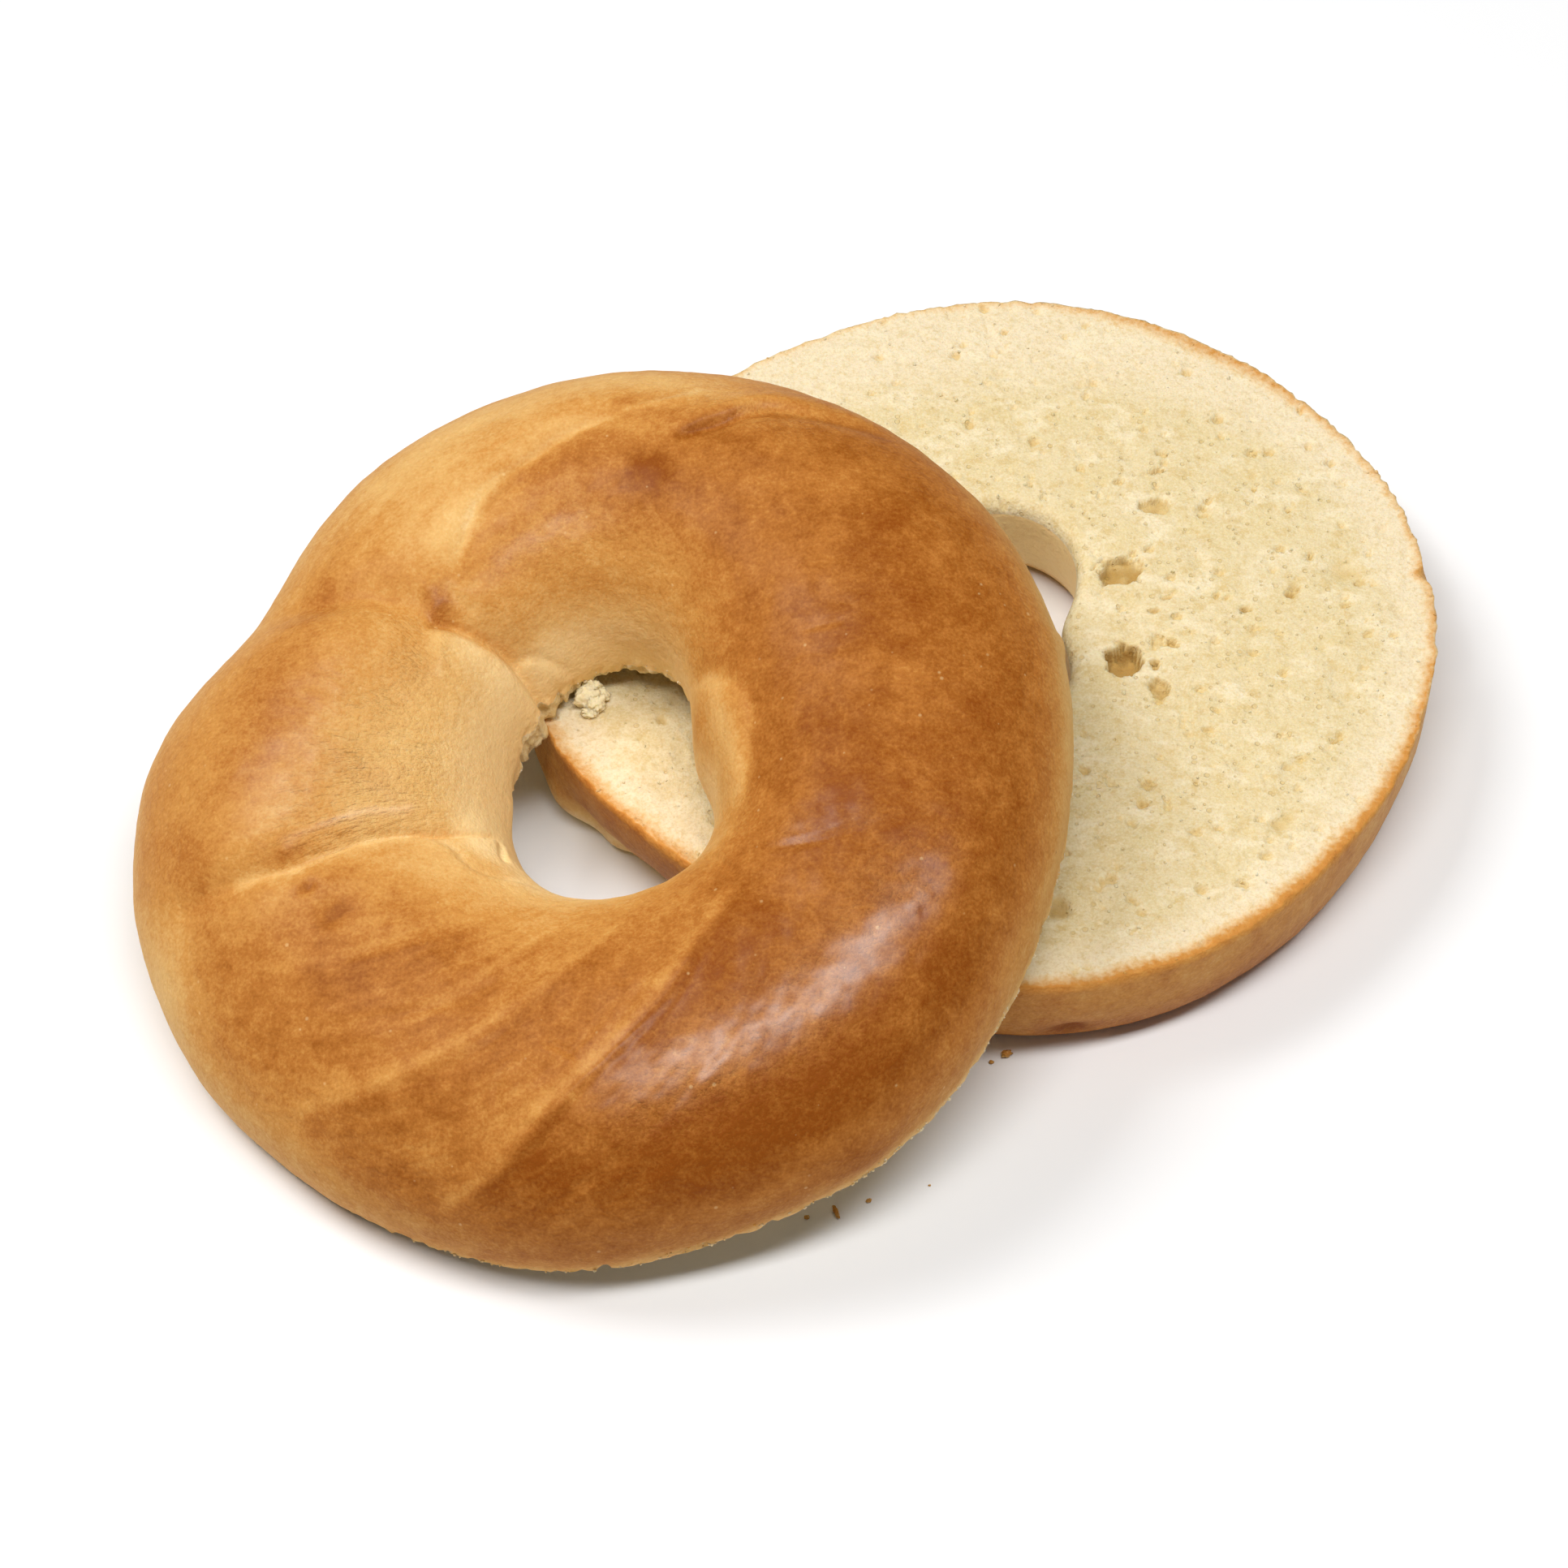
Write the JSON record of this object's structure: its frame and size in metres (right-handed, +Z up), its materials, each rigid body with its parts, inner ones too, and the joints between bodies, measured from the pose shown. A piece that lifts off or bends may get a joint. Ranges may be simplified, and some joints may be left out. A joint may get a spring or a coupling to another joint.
{
  "type": "sliced bagel",
  "caption": "Plain baked bagel cut across, its bottom half lying cut face up and its domed top half leaning on it.",
  "frame": {"origin": "middle of the footprint on the table, under both halves", "axes": "+Z up; +X from the leaning top half towards the flat bottom half; +Y away from the viewer who sees the top half on the left"},
  "size_m": [0.1588, 0.1476, 0.0446],
  "materials": {
    "crust": "glazed golden brown bread crust",
    "crumb": "pale porous bread crumb with a thin brown crust round it"
  },
  "bodies": {
    "root": {"top_half": "crust", "bottom_half": "crumb"}
  },
  "joints": []
}
